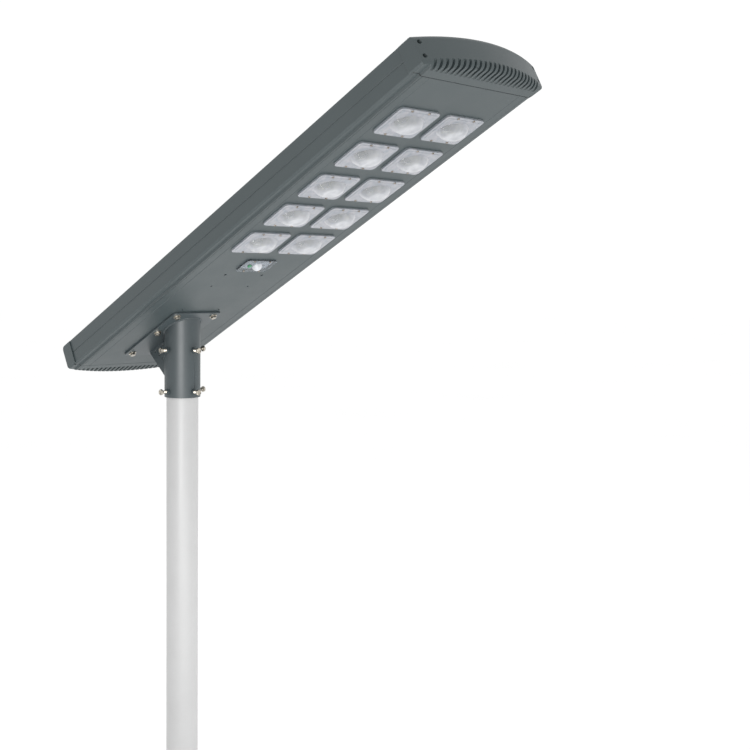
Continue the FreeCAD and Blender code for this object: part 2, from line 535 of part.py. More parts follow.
face_low = "-seal_thick + 0.1"
face_box = slab("face_box", "face_length", "face_width", "face_depth", "2", (middle, "0", face_low))
face_room = slab("face_room", "face_length - 3", "face_width - 3", "face_depth", "1",
                 (middle, "0", f"{face_low} + face_thick"))
face_holes = [rod("face_button_hole", "button_radius + button_fit", "10", (middle, "-button_out", "-5")),
              rod("face_dome_hole", "dome_radius + 0.1", "10", (middle, "0", "-5")),
              rod("face_receiver_hole", "receiver_radius + 0.1", "10", (middle, "button_out", "-5"))]
keep_on_head("sensor_face", cut("sensor_face_cut", face_box, face_room, *face_holes))

board_low = "-seal_thick + 0.1 + face_depth"
sensor_board = slab("sensor_board_slab", "window_length - 12", "window_width - 12", "board_thick", "2",
                    (middle, "0", board_low))
switch_top = "face_thick - seal_thick + 0.1 + button_stand + button_travel"
tact_switch = block("tact_switch", "6", "6", f"{board_low} - ({switch_top})", (middle, "-button_out", switch_top))
keep_on_head("sensor_board", fuse("sensor_board_solid", sensor_board, tact_switch))

flange_low = "face_thick - seal_thick + 0.1"
button_cap = rod("button_cap", "button_radius", "window_cover + seal_thick + face_thick + 0.5",
                 (middle, "-button_out", "-seal_thick - window_cover - 0.4 - seal_thick"))
button_flange = rod("button_flange", "button_radius + 1.2", "button_stand - 0.1",
                    (middle, "-button_out", flange_low))
keep_on_head("power_button", fuse("power_button_solid", button_cap, button_flange))

dome_centre = "-seal_thick - window_cover + 1"
ball = bind(doc.addObject("Part::Sphere", "motion_ball"), Radius="dome_radius")
ball.Angle1, ball.Angle2 = -90, 0
place(ball, (middle, "0", dome_centre))
neck = rod("motion_neck", "dome_radius", f"{flange_low} - ({dome_centre}) + 1", (middle, "0", dome_centre))
collar = rod("motion_collar", "dome_radius + 1.6", "1.2", (middle, "0", flange_low))
ball_room = bind(doc.addObject("Part::Sphere", "motion_ball_room"), Radius="dome_radius - dome_wall")
place(ball_room, (middle, "0", dome_centre))
neck_room = rod("motion_neck_room", "dome_radius - dome_wall", "20", (middle, "0", dome_centre))
motion_solid = fuse("motion_dome_solid", ball, neck, collar)
keep_on_head("motion_dome", cut("motion_dome_cut", motion_solid, ball_room, neck_room))
keep_on_head("remote_receiver", rod("receiver", "receiver_radius", f"{board_low} - ({face_low})",
                                    (middle, "button_out", face_low)))

# ---- Inside: battery pack in its tray, charge controller and the wiring between them and the panel.
cans = [rod(f"cell_can_{row}_{column}", "cell_can_radius", "cell_can_length",
            (f"pack_middle + ({row} - 2.5) * cell_can_pitch", f"({column} - 2) * (cell_can_length + 2) + 1",
             "tray_height + tray_thick + cell_can_radius"), ACROSS)
        for row in range(6) for column in range(4)]
keep_on_head("battery_cells", *cans)
tray_base = block("tray_base", "tray_length", "tray_width", "tray_thick", ("pack_middle", "0", "tray_height"))
tray_ends = [block(f"tray_end_{side}", "tray_thick", "tray_width", "tray_rim - plate_thick",
                   (f"pack_middle + {side} * tray_length / 2", "0", "plate_thick")) for side in (-1, 1)]
keep_on_head("battery_tray", fuse("battery_tray_solid", tray_base, *tray_ends))
keep_on_head("charge_controller", slab("controller_case", "88", "126", "30", "5",
                                       ("-236", "0", "plate_thick + 0.2")))


def lead(name, points, radius, bend):
    """A round lead along straight runs joined by arcs of one radius."""
    edges, start = [], points[0]
    for before, corner, after in zip(points, points[1:], points[2:]):
        back = (before - corner).normalize()
        ahead = (after - corner).normalize()
        half_turn = (math.pi - back.getAngle(ahead)) / 2
        reach = bend * math.tan(half_turn)
        enter, leave = corner + back * reach, corner + ahead * reach
        inward = (back + ahead).normalize()
        crown = corner + inward * (bend / math.cos(half_turn) - bend)
        edges += [Part.LineSegment(start, enter).toShape(), Part.Arc(enter, crown, leave).toShape()]
        start = leave
    edges.append(Part.LineSegment(start, points[-1]).toShape())
    path = Part.Wire(edges)
    ring = Part.Wire([Part.Circle(points[0], points[1] - points[0], radius).toShape()])
    thing = doc.addObject("Part::Feature", name)
    thing.Shape = path.makePipeShell([ring], True, True)
    return thing


LEAD_RADIUS = 2.2
LEAD_BEND = 12
leads = [lead("panel_lead", [Vector(-43, 20, 53), Vector(-75, 20, 53), Vector(-150, 40, 20), Vector(-191, 40, 20)],
              LEAD_RADIUS, LEAD_BEND),
         lead("battery_lead", [Vector(-281, 30, 20), Vector(-320, 30, 20), Vector(-340, 70, 24),
                               Vector(-380, 70, 24)], LEAD_RADIUS, LEAD_BEND),
         lead("lamp_lead", [Vector(-191, -40, 20), Vector(-150, -40, 20), Vector(-110, -5, 26), Vector(0, 0, 26),
                            Vector(560, 0, 26)], LEAD_RADIUS, LEAD_BEND)]
keep_on_head("wiring", *leads)

# ---- Check every object, then write each sub-part to its own file.
doc.recompute()
for thing in doc.Objects:
    if {"Invalid", "Error"} & set(thing.State):
        raise RuntimeError(f"{thing.Label} failed: {thing.State}")
for part in sub_parts:
    if part.Shape.isNull() or not part.Shape.isValid() or not part.Shape.Solids:
        raise RuntimeError(f"{part.Label} has no valid solid")

os.makedirs("parts", exist_ok=True)
for part in sub_parts:
    part.Shape.exportStep(f"parts/{part.Label}.step")
    bounds = part.Shape.BoundBox
    print(f"{part.Label:24} solids {len(part.Shape.Solids):3} volume {part.Shape.Volume / 1000:10.1f} cm3 "
          f"x {bounds.XMin:8.1f}..{bounds.XMax:8.1f} z {bounds.ZMin:8.1f}..{bounds.ZMax:8.1f}")
print(len(sub_parts), "sub-parts")
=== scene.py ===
"""Solar street lamp: the looks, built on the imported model, which fixes every size and place."""
import json
import math

import bpy
from mathutils import Matrix, Vector


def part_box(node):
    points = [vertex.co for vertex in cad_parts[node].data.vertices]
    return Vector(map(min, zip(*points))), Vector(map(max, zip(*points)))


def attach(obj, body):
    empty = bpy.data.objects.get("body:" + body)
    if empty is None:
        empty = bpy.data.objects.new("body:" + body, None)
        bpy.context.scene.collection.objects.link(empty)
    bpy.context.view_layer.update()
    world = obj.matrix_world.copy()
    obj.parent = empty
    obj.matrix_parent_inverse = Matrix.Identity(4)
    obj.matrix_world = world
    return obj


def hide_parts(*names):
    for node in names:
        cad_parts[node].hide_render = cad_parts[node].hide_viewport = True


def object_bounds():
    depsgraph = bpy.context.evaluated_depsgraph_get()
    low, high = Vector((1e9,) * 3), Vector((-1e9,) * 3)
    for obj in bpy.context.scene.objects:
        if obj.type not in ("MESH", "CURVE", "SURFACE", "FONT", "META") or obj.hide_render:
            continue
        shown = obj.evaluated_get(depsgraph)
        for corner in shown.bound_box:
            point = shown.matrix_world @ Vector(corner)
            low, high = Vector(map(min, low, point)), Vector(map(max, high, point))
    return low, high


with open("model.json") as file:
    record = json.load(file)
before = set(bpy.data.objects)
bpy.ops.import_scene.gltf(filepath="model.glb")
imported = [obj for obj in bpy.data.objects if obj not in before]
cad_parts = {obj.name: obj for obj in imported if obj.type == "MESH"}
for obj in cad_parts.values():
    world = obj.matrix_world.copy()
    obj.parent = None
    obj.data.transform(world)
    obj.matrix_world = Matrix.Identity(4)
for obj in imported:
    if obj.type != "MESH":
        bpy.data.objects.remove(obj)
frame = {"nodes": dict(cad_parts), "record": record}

cad_low, cad_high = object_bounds()
MM = 0.001

# ==== Camera: on a tripod to the lamp's front right, nearly level and lower than the head, so that it sees
# the head's underside.
CAMERA_SPOT = Vector((2.309, -1.729, 1.245))
CAMERA_HEADING, CAMERA_PITCH, CAMERA_ROLL = math.radians(135.28), math.radians(-2.78), math.radians(0.455)
FOCAL_LENGTH, SHIFT_ASIDE, SHIFT_UP = 54.5, 0.047, -0.052

camera = bpy.data.objects.new("camera", bpy.data.cameras.new("camera"))
bpy.context.scene.collection.objects.link(camera)
camera.data.lens = FOCAL_LENGTH
camera.data.shift_x, camera.data.shift_y = SHIFT_ASIDE, SHIFT_UP
look = Vector((math.cos(CAMERA_HEADING) * math.cos(CAMERA_PITCH),
               math.sin(CAMERA_HEADING) * math.cos(CAMERA_PITCH), math.sin(CAMERA_PITCH)))
camera.matrix_world = (Matrix.Translation(CAMERA_SPOT) @ look.to_track_quat("-Z", "Y").to_matrix().to_4x4()
                       @ Matrix.Rotation(CAMERA_ROLL, 4, "Z"))
bpy.context.scene.camera = camera
bpy.context.scene.view_settings.view_transform = "Standard"

# ==== Studio: rolled white paper on the floor and white walls all round, with a softbox low in front, a
# larger one high behind, and a tall strip on the front right that only puts gloss on what it faces.
FLOOR_SPAN = 80
WALL_BRIGHTNESS = 1.03
PAPER_CLOUDS = 0.7        # to the metre


def linear(colour):
    """An sRGB hex colour as linear red, green, blue and 1."""
    parts = [int(colour[i:i + 2], 16) / 255 for i in (1, 3, 5)]
    return [c / 12.92 if c <= 0.04045 else ((c + 0.055) / 1.055) ** 2.4 for c in parts] + [1]


def material_tree(name):
    """A new material and its node tree, which holds only the output node."""
    made = bpy.data.materials.new(name)
    made.use_nodes = True
    made.node_tree.nodes.clear()
    made.node_tree.nodes.new("ShaderNodeOutputMaterial")
    return made, made.node_tree


def node(tree, kind, sockets=None, **settings):
    """A shader node with its settings, and what each named socket holds: a value or another node's output."""
    made = tree.nodes.new("ShaderNode" + kind)
    for name, value in settings.items():
        setattr(made, name, value)
    for socket, value in (sockets or {}).items():
        if isinstance(value, bpy.types.NodeSocket):
            tree.links.new(value, made.inputs[socket])
        else:
            made.inputs[socket].default_value = value
    return made


def surface(tree, shader):
    """Link a shader to the material's output."""
    tree.links.new(shader.outputs[0], tree.nodes["Material Output"].inputs["Surface"])


def tones(tree, factor, low, high, start=0.0, end=1.0):
    """A colour that goes from one hex tone to another as a factor goes from start to end."""
    ramp = node(tree, "ValToRGB", {"Fac": factor})
    ramp.color_ramp.elements[0].position, ramp.color_ramp.elements[1].position = start, end
    ramp.color_ramp.elements[0].color, ramp.color_ramp.elements[1].color = linear(low), linear(high)
    return ramp.outputs["Color"]


# Matt rolled paper: the faintest cloudiness, with no shine.
studio_paper, tree = material_tree("studio_paper")
place = node(tree, "TexCoord").outputs["Object"]
cloud = node(tree, "TexNoise", {"Vector": place, "Scale": PAPER_CLOUDS, "Detail": 4.0}).outputs["Fac"]
surface(tree, node(tree, "BsdfPrincipled", {"Base Color": tones(tree, cloud, "#fafafa", "#ffffff"),
                                            "Roughness": 0.9, "Specular IOR Level": 0.0}))


def primitive(kind, name, **settings):
    """A new mesh primitive, which is then the one selected and active object."""
    bpy.ops.object.select_all(action="DESELECT")
    getattr(bpy.ops.mesh, f"primitive_{kind}_add")(**settings)
    bpy.context.object.name = name
    return bpy.context.object


floor = primitive("plane", "floor", size=FLOOR_SPAN, location=(0, 0, cad_low.z))
floor.data.materials.append(studio_paper)

world = bpy.data.worlds.new("studio")
bpy.context.scene.world = world
world.use_nodes = True
world.node_tree.nodes["Background"].inputs["Color"].default_value = linear("#ffffff")
world.node_tree.nodes["Background"].inputs["Strength"].default_value = WALL_BRIGHTNESS


def softbox(name, spot, target, span, watts, height=None):
    """A softbox aimed at a point: square, or a strip of the height given."""
    lamp = bpy.data.objects.new(name, bpy.data.lights.new(name, "AREA"))
    bpy.context.scene.collection.objects.link(lamp)
    lamp.data.shape = "RECTANGLE"
    lamp.data.size, lamp.data.size_y, lamp.data.energy = span, height or span, watts
    lamp.location = spot
    lamp.rotation_euler = (Vector(target) - Vector(spot)).to_track_quat("-Z", "Y").to_euler()
    lamp.visible_camera = False
    return lamp


softbox("low_front_softbox", (1.2, -0.3, 0.15), (0, 0, 1.15), 0.9, 10)
softbox("high_back_softbox", (-1.6, 0.9, 3.2), (0.3, 0, 1.4), 1.5, 20)
strip = softbox("sleeve_strip", (1.6, -1.7, 0.9), (0, 0, 1.0), 1.2, 55, height=1.6)
strip.visible_diffuse = False

# ==== Pole: the upper length of a round steel tube, hot-dip galvanised and then powder-coated white. It is
# the one body that stands still.
POLE_WHITE, POLE_SHADE = "#bebebe", "#b8b8b8"
COAT_DRIFTS = 9.0         # patches of tone to the metre


def powder_coat(name, light, shade, grain, roughness, relief):
    """Baked polyester powder: low shine, orange peel of the grain given in mm, and a drift in tone."""
    made, tree = material_tree(name)
    place = node(tree, "TexCoord").outputs["Object"]
    drift = node(tree, "TexNoise", {"Vector": place, "Scale": COAT_DRIFTS, "Detail": 5.0,
                                    "Roughness": 0.6}).outputs["Fac"]
    peel = node(tree, "TexNoise", {"Vector": place, "Scale": 1 / (grain * MM),
                                   "Detail": 2.0}).outputs["Fac"]
    fleck = node(tree, "TexNoise", {"Vector": place, "Scale": 0.5 / (grain * MM),
                                    "Detail": 0.0}).outputs["Fac"]
    colour = node(tree, "Mix", {"Factor": 0.12, "A": tones(tree, drift, shade, light, 0.3, 0.7),
                                "B": tones(tree, fleck, shade, light, 0.4, 0.6)}, data_type="RGBA")
    shine = node(tree, "MapRange", {"Value": drift, "From Min": 0.3, "From Max": 0.7,
                                    "To Min": roughness - 0.05, "To Max": roughness + 0.05})
    dimple = node(tree, "Bump", {"Height": peel, "Strength": 0.35, "Distance": relief * MM})
    surface(tree, node(tree, "BsdfPrincipled", {
        "Base Color": colour.outputs["Result"], "Roughness": shine.outputs["Result"],
        "Normal": dimple.outputs["Normal"], "IOR": 1.5}))
    return made


def finish(node_name, material):
    """Give a CAD node its procedural material."""
    shown = frame["nodes"][node_name]
    for slot in shown.material_slots:
        slot.material = material


# White polyester powder on steel tube: a soft, even, slightly glossy white.
white_powder = powder_coat("white_powder_coat", POLE_WHITE, POLE_SHADE,
                           grain=1.5, roughness=0.42, relief=0.04)
finish("pole_tube", white_powder)

# ==== Bracket: a steel sleeve welded under a bolted plate, stiffened by a gusset with five holes, and six
# weld nuts that carry the clamp screws. All of it is welded first and then coated in one go with blue-grey
# powder.
BRACKET_LIGHT, BRACKET_SHADE = "#434c4f", "#3f484b"
WELD_RADIUS, RIPPLE_PITCH, RIPPLE_DEPTH, STEPS_PER_RIPPLE = 2.4, 1.6, 0.22, 4
WELD_ABOVE_FOOT, WELD_BELOW_TOP, WELD_ASIDE = 2, 4, 2.2
RING_WELD_OUT = 0.6           # the ring weld's middle, outside the sleeve's surface
PLATE_THICK = 4               # the housing's bottom plate
PLATE_UNDERSIDE = -5          # the bracket plate's underside, below the housing's
SLEEVE_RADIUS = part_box("bracket_sleeve")[1].y / MM
MERGE_GAP, FLAT_ANGLE, SMOOTH_ANGLE = 0.01, 0.5, 40


def head_matrix():
    """From the lamp head's own frame (along, across, up from its underside, in mm) to the model's."""
    joints = frame["record"]["behaviour"]["joints"]
    press = next(joint for joint in joints if joint["name"] == "power_button_press")
    up = Vector(press["axis"]).normalized()
    across = Vector((0, 1, 0))
    along = across.cross(up)
    low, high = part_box("bottom_plate")
    rear = Vector((low.x - PLATE_THICK * MM * up.x, 0, low.z))
    front = Vector((high.x, 0, high.z - PLATE_THICK * MM * up.z))
    turn = Matrix((along, across, up)).transposed().to_4x4()
    return Matrix.Translation((rear + front) / 2) @ turn @ Matrix.Scale(MM, 4)


HEAD = head_matrix()
TILT = math.asin(-(HEAD @ Vector((0, 0, 1)) - HEAD @ Vector()).x / MM)
# The same polyester powder, in blue-grey: satin, so the round sleeve shows one soft upright highlight.
grey_powder = powder_coat("grey_powder_coat", BRACKET_LIGHT, BRACKET_SHADE,
                          grain=1.4, roughness=0.42, relief=0.03)


def apply(piece):
    """Apply every modifier on a piece, in order."""
    bpy.ops.object.select_all(action="DESELECT")
    bpy.context.view_layer.objects.active = piece
    piece.select_set(True)
    for modifier in list(piece.modifiers):
        bpy.ops.object.modifier_apply(modifier=modifier.name)


def round_edges(piece, width, segments=2, angle=30):
    """Round every edge sharper than an angle, by a width in the piece's own unit, and shade it smooth."""
    bevel = piece.modifiers.new("edges", "BEVEL")
    bevel.width, bevel.segments = width, segments
    bevel.limit_method, bevel.angle_limit = "ANGLE", math.radians(angle)
    bevel.use_clamp_overlap = False
    apply(piece)
    bpy.ops.object.shade_smooth_by_angle(angle=math.radians(SMOOTH_ANGLE))
    weighted = piece.modifiers.new("flat faces stay flat", "WEIGHTED_NORMAL")
    weighted.keep_sharp = True
    apply(piece)


def dress(piece, material, body, slot, *nodes):
    """Give a finished piece its material and its body, and hide the CAD nodes it stands for. The slot is not
    used.
    """
    piece.data.materials.clear()
    piece.data.materials.append(material)
    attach(piece, body)
    if nodes:
        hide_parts(*nodes)
    return piece


def softened(node_name, name, width, material, slot, body="head"):
    """A copy of a CAD node, merged into clean faces and with rounded edges, that stands for the node."""
    piece = bpy.data.objects.new(name, frame["nodes"][node_name].data.copy())
    bpy.context.scene.collection.objects.link(piece)
    piece.data.name = name
    bpy.ops.object.select_all(action="DESELECT")
    bpy.context.view_layer.objects.active = piece
    piece.select_set(True)
    bpy.ops.object.mode_set(mode="EDIT")
    bpy.ops.mesh.select_all(action="SELECT")
    bpy.ops.mesh.remove_doubles(threshold=MERGE_GAP * MM)
    bpy.ops.mesh.dissolve_limited(angle_limit=math.radians(FLAT_ANGLE))
    bpy.ops.object.mode_set(mode="OBJECT")
    round_edges(piece, width * MM)
    return dress(piece, material, body, slot, node_name)


softened("bracket_sleeve", "sleeve", 0.8, grey_powder, "bracket_paint")
softened("bracket_gusset", "gusset", 0.5, grey_powder, "bracket_paint")
softened("bracket_plate", "mounting_plate", 0.8, grey_powder, "bracket_paint")
softened("clamp_nuts", "weld_nuts", 0.5, grey_powder, "bracket_paint")


def copied(piece, name, matrix):
    """A copy of a piece with its own mesh, moved by a matrix."""
    double = bpy.data.objects.new(name, piece.data.copy())
    bpy.context.scene.collection.objects.link(double)
    double.data.transform(matrix)
    return double


def joined(name, parts):
    """Several objects made one, with its place in its mesh."""
    bpy.ops.object.select_all(action="DESELECT")
    for part in parts:
        part.select_set(True)
    bpy.context.view_layer.objects.active = parts[0]
    bpy.ops.object.transform_apply(location=True, rotation=True, scale=True)
    if len(parts) > 1:
        bpy.ops.object.join()
    parts[0].name = parts[0].data.name = name
    return parts[0]


def on_head(piece):
    """Move a piece modelled in mm in the lamp head's own frame to its place."""
    bpy.ops.object.select_all(action="DESELECT")
    bpy.context.view_layer.objects.active = piece
    piece.select_set(True)
    bpy.ops.object.transform_apply(location=True, rotation=True, scale=True)
    piece.data.transform(HEAD)
    return piece


def straight_weld(start, end):
    """A fillet of weld metal along a line in the model's frame, rippled by the torch's steps."""
    run = end - start
    steps = round(run.length / MM / RIPPLE_PITCH * STEPS_PER_RIPPLE)
    bead = primitive("circle", "bead", vertices=10, radius=WELD_RADIUS, fill_type="NGON",
                     location=(0, 0, -run.length / MM / 2))
    bpy.ops.object.transform_apply(location=True)
    bpy.ops.object.mode_set(mode="EDIT")
    bpy.ops.mesh.select_all(action="SELECT")
    for _ in range(steps):
        bpy.ops.mesh.extrude_region_move(TRANSFORM_OT_translate={"value": (0, 0, run.length / MM / steps)})
    bpy.ops.mesh.select_all(action="SELECT")
    bpy.ops.mesh.normals_make_consistent(inside=False)
    bpy.ops.object.mode_set(mode="OBJECT")
    for corner in bead.data.vertices:
        ripple = 1 - RIPPLE_DEPTH / WELD_RADIUS * (1 + math.sin(corner.co.z * 2 * math.pi / RIPPLE_PITCH))
        corner.co.x, corner.co.y = corner.co.x * ripple, corner.co.y * ripple
    turn = run.to_track_quat("Z", "Y").to_matrix().to_4x4()
    bead.data.transform(Matrix.Translation((start + end) / 2) @ turn @ Matrix.Scale(MM, 4))
    return bead


def ring_weld():
    """The weld round the sleeve's slanted top: an oval of the sleeve's own outline in the plate's plane."""
    ring_radius = SLEEVE_RADIUS + RING_WELD_OUT
    bead = primitive("torus", "ring_bead", major_radius=ring_radius, minor_radius=WELD_RADIUS,
                     major_segments=360, minor_segments=10)
    ripples = round(2 * math.pi * SLEEVE_RADIUS / RIPPLE_PITCH)
    for corner in bead.data.vertices:
        turn = math.atan2(corner.co.y, corner.co.x)
        ring = Vector((math.cos(turn), math.sin(turn), 0)) * ring_radius
        shrink = 1 - RIPPLE_DEPTH / WELD_RADIUS * (1 + math.sin(turn * ripples / 2))
        corner.co = ring + (corner.co - ring) * shrink
    axis_spot = HEAD.inverted() @ Vector((0, 0, 0))
    drop = HEAD.inverted() @ Vector((0, 0, 1)) - axis_spot
    centre = axis_spot + drop * ((PLATE_UNDERSIDE - axis_spot.z) / drop.z)
    slant = Matrix.Diagonal((1 / math.cos(TILT), 1, 1, 1))
    bead.data.transform(Matrix.Translation(centre) @ slant)
    return on_head(bead)


gusset_low, gusset_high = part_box("bracket_gusset")
weld_foot = Vector((-SLEEVE_RADIUS * MM, 0, gusset_low.z + WELD_ABOVE_FOOT * MM))
weld_top = Vector((-SLEEVE_RADIUS * MM, 0, gusset_high.z - WELD_BELOW_TOP * MM))
beads = [ring_weld()]
for side in (-1, 1):
    offset = Vector((0, side * WELD_ASIDE * MM, 0))
    beads.append(straight_weld(weld_foot + offset, weld_top + offset))
dress(joined("weld_beads", beads), grey_powder, "head", "bracket_paint")

# ==== Clamp screws: six M8 hex-head set screws, cold-headed steel with rolled threads and a bright zinc
# plating. Each screws in through its own weld nut until its tip bites on the pole, and moves on a body of its
# own.
ZINC_LIGHT, ZINC_SHADE = "#cfc8ba", "#8f8b84"
BOLT_FLATS, SCREW_RADIUS, THREAD_PITCH, THREAD_DEPTH = 13, 4, 1.25, 0.65
CLAMP_HEAD, BOLT_HEAD = 5.5, 5.3
TURNED_SHARE, FORGED_EDGE = 0.95, 0.25      # the head's flat top, as a share of its flats, and its edges
THREAD_ROOT = 0.5                           # how far a thread runs into its head


def bright_metal(name, light, shade, patch, roughness):
    """Bare or plated metal: mirror-like, broken into patches of the size given in mm, with fine scuffs."""
    made, tree = material_tree(name)
    place = node(tree, "TexCoord").outputs["Object"]
    stain = node(tree, "TexNoise", {"Vector": place, "Scale": 1 / (patch * MM),
                                    "Detail": 4.0}).outputs["Fac"]
    scuff = node(tree, "TexNoise", {"Vector": place, "Scale": 3 / (patch * MM),
                                    "Detail": 3.0}).outputs["Fac"]
    shine = node(tree, "MapRange", {"Value": stain, "From Min": 0.3, "From Max": 0.7,
                                    "To Min": roughness - 0.08, "To Max": roughness + 0.1})
    scratch = node(tree, "Bump", {"Height": scuff, "Strength": 0.25, "Distance": 0.05 * MM})
    surface(tree, node(tree, "BsdfPrincipled", {
        "Base Color": tones(tree, stain, shade, light, 0.35, 0.65), "Metallic": 1.0,
        "Roughness": shine.outputs["Result"], "Normal": scratch.outputs["Normal"]}))
    return made


# Zinc plate with a thin yellow passivation: bright, faintly gold, dulled in patches.
zinc_plate = bright_metal("zinc_plated_steel", ZINC_LIGHT, ZINC_SHADE, patch=5, roughness=0.3)


def threaded_rod(name, radius, bottom, top):
    """A rolled thread along Z, as a stack of ridges between two heights."""
    rod = primitive("circle", name, vertices=20, radius=radius - THREAD_DEPTH, fill_type="NGON")
    bpy.ops.object.mode_set(mode="EDIT")
    bpy.ops.mesh.select_all(action="SELECT")
    turns = round((top - bottom) / THREAD_PITCH)
    rise = (top - bottom) / turns / 2
    swell = radius / (radius - THREAD_DEPTH)
    for half_turn in range(turns * 2):
        bpy.ops.mesh.extrude_region_move(TRANSFORM_OT_translate={"value": (0, 0, rise)})
        factor = 1 / swell if half_turn % 2 else swell
        bpy.ops.transform.resize(value=(factor, factor, 1))
    bpy.ops.mesh.select_all(action="SELECT")
    bpy.ops.mesh.normals_make_consistent(inside=False)
    bpy.ops.object.mode_set(mode="OBJECT")
    rod.data.transform(Matrix.Translation((0, 0, bottom)))
    return rod


def hex_head(name, flats, bottom, height):
    """A forged hex head on Z with its corners turned off to a cone at the top."""
    head = primitive("cylinder", name, vertices=6, radius=flats / math.sqrt(3), depth=height,
                     location=(0, 0, bottom + height / 2))
    top_radius, slope, spare = flats / 2 * TURNED_SHARE, math.sqrt(3), 1
    turning = primitive("cone", "turning", vertices=48, radius2=top_radius,
                        radius1=top_radius + (height + spare) * slope, depth=height + spare,
                        location=(0, 0, bottom + (height - spare) / 2))
    meet = head.modifiers.new("chamfer", "BOOLEAN")
    meet.operation, meet.object = "INTERSECT", turning
    apply(head)
    bpy.data.objects.remove(turning)
    round_edges(head, FORGED_EDGE)
    return head


screw_low, screw_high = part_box("clamp_screw_upper_front")
tip, end = screw_low.x / MM, screw_high.x / MM
clamp_screw = joined("clamp_screw", [
    hex_head("clamp_head", BOLT_FLATS, end - CLAMP_HEAD, CLAMP_HEAD),
    threaded_rod("clamp_thread", SCREW_RADIUS, tip, end - CLAMP_HEAD + THREAD_ROOT)])
for level in ("lower", "upper"):
    for way, direction in (("front", (1, 0, 0)), ("left", (0, 1, 0)), ("right", (0, -1, 0))):
        low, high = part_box(f"clamp_screw_{level}_{way}")
        turn = Vector(direction).to_track_quat("Z", "Y").to_matrix().to_4x4()
        spot = Matrix.Translation((0, 0, (low.z + high.z) / 2)) @ turn @ Matrix.Scale(MM, 4)
        dress(copied(clamp_screw, f"clamp_screw_{level}_{way}_detail", spot), zinc_plate,
              f"screw_{level}_{way}", "zinc_steel", f"clamp_screw_{level}_{way}")
bpy.data.objects.remove(clamp_screw)

# ==== Plate bolts: six M8 bolts, flat washers and nuts of the same zinc-plated steel, which hold the bracket
# plate to the housing from below. The nuts sit inside.
BOLT_TURN = 17                # each bolt stops this many degrees past the one before


def solids_of(node_name):
    """Each separate solid of a CAD node: its middle, lowest and highest corner, in the head's own frame."""
    whole = bpy.data.objects.new("whole", frame["nodes"][node_name].data.copy())
    bpy.context.scene.collection.objects.link(whole)
    bpy.ops.object.select_all(action="DESELECT")
    bpy.context.view_layer.objects.active = whole
    whole.select_set(True)
    bpy.ops.object.mode_set(mode="EDIT")
    bpy.ops.mesh.select_all(action="SELECT")
    bpy.ops.mesh.remove_doubles(threshold=MERGE_GAP * MM)
    bpy.ops.mesh.separate(type="LOOSE")
    bpy.ops.object.mode_set(mode="OBJECT")
    found = []
    for part in list(bpy.context.selected_objects):
        corners = [HEAD.inverted() @ corner.co for corner in part.data.vertices]
        low = Vector(min(corner[axis] for corner in corners) for axis in range(3))
        high = Vector(max(corner[axis] for corner in corners) for axis in range(3))
        found.append(((low + high) / 2, low, high))
        bpy.data.objects.remove(part)
    return found


bolt_spots = solids_of("bracket_bolts")
bolt_low, bolt_high = bolt_spots[0][1].z, bolt_spots[0][2].z
plate_bolt = joined("plate_bolt", [
    hex_head("bolt_head", BOLT_FLATS, 0, BOLT_HEAD),
    threaded_rod("bolt_thread", SCREW_RADIUS, THREAD_ROOT - (bolt_high - bolt_low - BOLT_HEAD), THREAD_ROOT)])
HALF_TURN = Matrix.Rotation(math.pi, 4, "X")
bolts = [copied(plate_bolt, f"bolt_{number}",
                Matrix.Translation((middle.x, middle.y, low.z + BOLT_HEAD)) @ HALF_TURN
                @ Matrix.Rotation(math.radians(BOLT_TURN * number), 4, "Z"))
         for number, (middle, low, high) in enumerate(bolt_spots)]
bpy.data.objects.remove(plate_bolt)
dress(on_head(joined("plate_bolts", bolts)), zinc_plate, "head", "zinc_steel", "bracket_bolts")
softened("bracket_washers", "plate_washers", 0.25, zinc_plate, "zinc_steel")
softened("bracket_nuts", "plate_nuts", 0.5, zinc_plate, "zinc_steel")

# ==== Housing: two extruded aluminium side rails, an extruded bottom plate slid between them, and a die-cast
# cap screwed on each end. All are blue-grey powder-coated, a shade darker than the bracket.
HOUSING_LIGHT, HOUSING_SHADE = "#3f494b", "#3b4547"
# Polyester powder on aluminium: satin blue-grey, a little duller than the bracket's.
housing_powder = powder_coat("housing_powder_coat", HOUSING_LIGHT, HOUSING_SHADE,
                             grain=1.2, roughness=0.45, relief=0.04)
softened("side_rail_left", "left_rail", 0.4, housing_powder, "housing_paint")
softened("side_rail_right", "right_rail", 0.4, housing_powder, "housing_paint")
finish("bottom_plate", housing_powder)
softened("end_cap_front", "front_cap", 0.5, housing_powder, "housing_paint")
softened("end_cap_rear", "rear_cap", 0.5, housing_powder, "housing_paint")

# ==== Gaskets and seals: the caps and the sensor window sit on black EPDM sheet and the lens covers on grey
# silicone, all cut flat and squeezed when the screws are done up.
RUBBER_LIGHT, RUBBER_SHADE = "#2b2e30", "#202325"


def rubber(name, light, shade, grain):
    """Soft rubber sheet: dead matt, with a bloom in patches and a talc-like grain of the size given in mm."""
    made, tree = material_tree(name)
    place = node(tree, "TexCoord").outputs["Object"]
    bloom = node(tree, "TexNoise", {"Vector": place, "Scale": 0.1 / (grain * MM),
                                    "Detail": 4.0}).outputs["Fac"]
    talc = node(tree, "TexNoise", {"Vector": place, "Scale": 1 / (grain * MM),
                                   "Detail": 1.0}).outputs["Fac"]
    relief = node(tree, "Bump", {"Height": talc, "Strength": 0.4, "Distance": 0.05 * MM})
    surface(tree, node(tree, "BsdfPrincipled", {"Base Color": tones(tree, bloom, shade, light, 0.3, 0.7),
                                                "Roughness": 0.8, "Normal": relief.outputs["Normal"]}))
    return made


